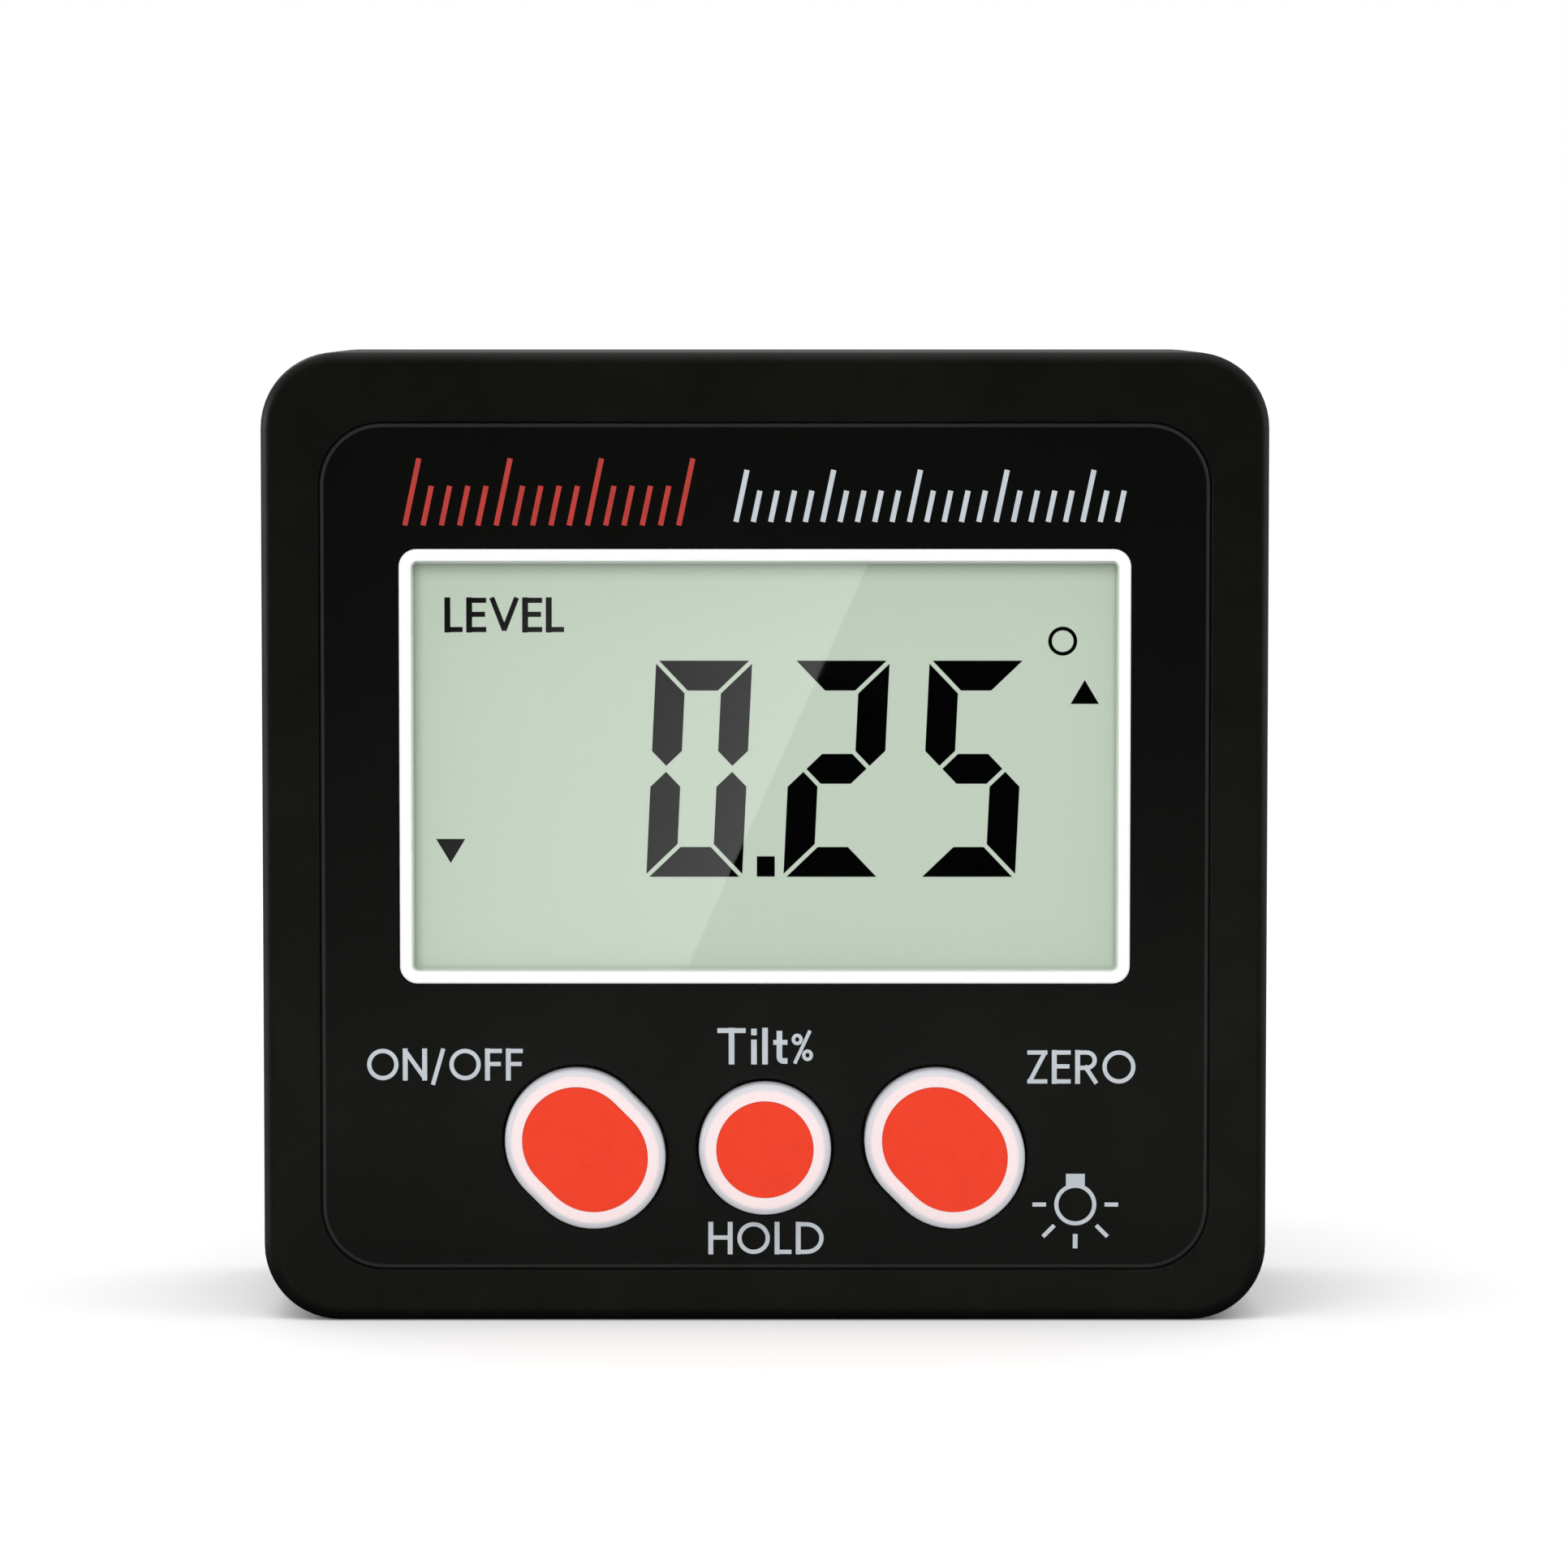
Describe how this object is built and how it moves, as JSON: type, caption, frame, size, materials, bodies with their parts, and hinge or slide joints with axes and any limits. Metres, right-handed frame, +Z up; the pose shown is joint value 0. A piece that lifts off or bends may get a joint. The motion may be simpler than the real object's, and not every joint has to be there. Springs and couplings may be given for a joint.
{
  "type": "digital angle gauge",
  "caption": "Palm-sized black box that reads slope: liquid-crystal window in a white bezel, red push buttons, magnetic base and a hinged battery door at the back",
  "frame": {"origin": "middle of the flat base that the gauge stands on", "axes": "X across the face to the right, Y from the face to the back, Z up from the base"},
  "size_m": [0.057, 0.0251, 0.055],
  "materials": {
    "case_plastic": "fine moulded texture",
    "door_plastic": "fine moulded texture",
    "label_film": "satin film",
    "bezel_white": "gloss",
    "lens_clear": "clear gloss",
    "display_glass": "grey-green display",
    "light_guide": "frosted",
    "lamp_plastic": "clear",
    "frame_plastic": "matt",
    "connector_rubber": "matt",
    "board_green": "solder mask",
    "chip_plastic": "matt",
    "crystal_metal": "bright",
    "capacitor_tan": "matt",
    "switch_plastic": "matt",
    "plunger_plastic": "matt",
    "key_silver": "satin",
    "key_red": "satin",
    "battery_jacket": "gloss",
    "contact_metal": "nickel plated",
    "lead_red": "satin",
    "lead_black": "satin",
    "magnet_metal": "nickel plated",
    "screw_metal": "zinc plated"
  },
  "bodies": {
    "case": {"front_case": "case_plastic", "rear_cover": "case_plastic", "face_label": "label_film", "window_bezel": "bezel_white", "window_lens": "lens_clear", "lcd_panel": "display_glass", "light_guide": "light_guide", "backlight_leds": "lamp_plastic", "lcd_frame": "frame_plastic", "lcd_connector": "connector_rubber", "circuit_board": "board_green", "controller_chip": "chip_plastic", "tilt_sensor": "chip_plastic", "clock_crystal": "crystal_metal", "board_capacitors": "capacitor_tan", "power_switch": "switch_plastic", "hold_switch": "switch_plastic", "zero_switch": "switch_plastic", "upper_battery": "battery_jacket", "lower_battery": "battery_jacket", "jumper_contact": "contact_metal", "positive_contact": "contact_metal", "negative_contact": "contact_metal", "positive_lead": "lead_red", "negative_lead": "lead_black", "base_magnets": "magnet_metal", "case_screws": "screw_metal", "board_screws": "screw_metal"},
    "power_button_body": {"power_button": "key_silver", "power_button_inlay": "key_red", "power_plunger": "plunger_plastic"},
    "hold_button_body": {"hold_button": "key_silver", "hold_button_inlay": "key_red", "hold_plunger": "plunger_plastic"},
    "zero_button_body": {"zero_button": "key_silver", "zero_button_inlay": "key_red", "zero_plunger": "plunger_plastic"},
    "battery_door_body": {"battery_door": "door_plastic"}
  },
  "joints": [
    {"name": "power_press", "type": "slide", "parent": "case", "child": "power_button_body", "axis": [0, 1, 0], "range_m": [0, 0.00035], "stiffness_N_per_m": 4000},
    {"name": "hold_press", "type": "slide", "parent": "case", "child": "hold_button_body", "axis": [0, 1, 0], "range_m": [0, 0.00035], "stiffness_N_per_m": 4000},
    {"name": "zero_press", "type": "slide", "parent": "case", "child": "zero_button_body", "axis": [0, 1, 0], "range_m": [0, 0.00035], "stiffness_N_per_m": 4000},
    {"name": "door_swing", "type": "hinge", "parent": "case", "child": "battery_door_body", "pos_m": [0, 0.01128, 0.01588], "axis": [-1, 0, 0], "range_deg": [0, 90]}
  ]
}
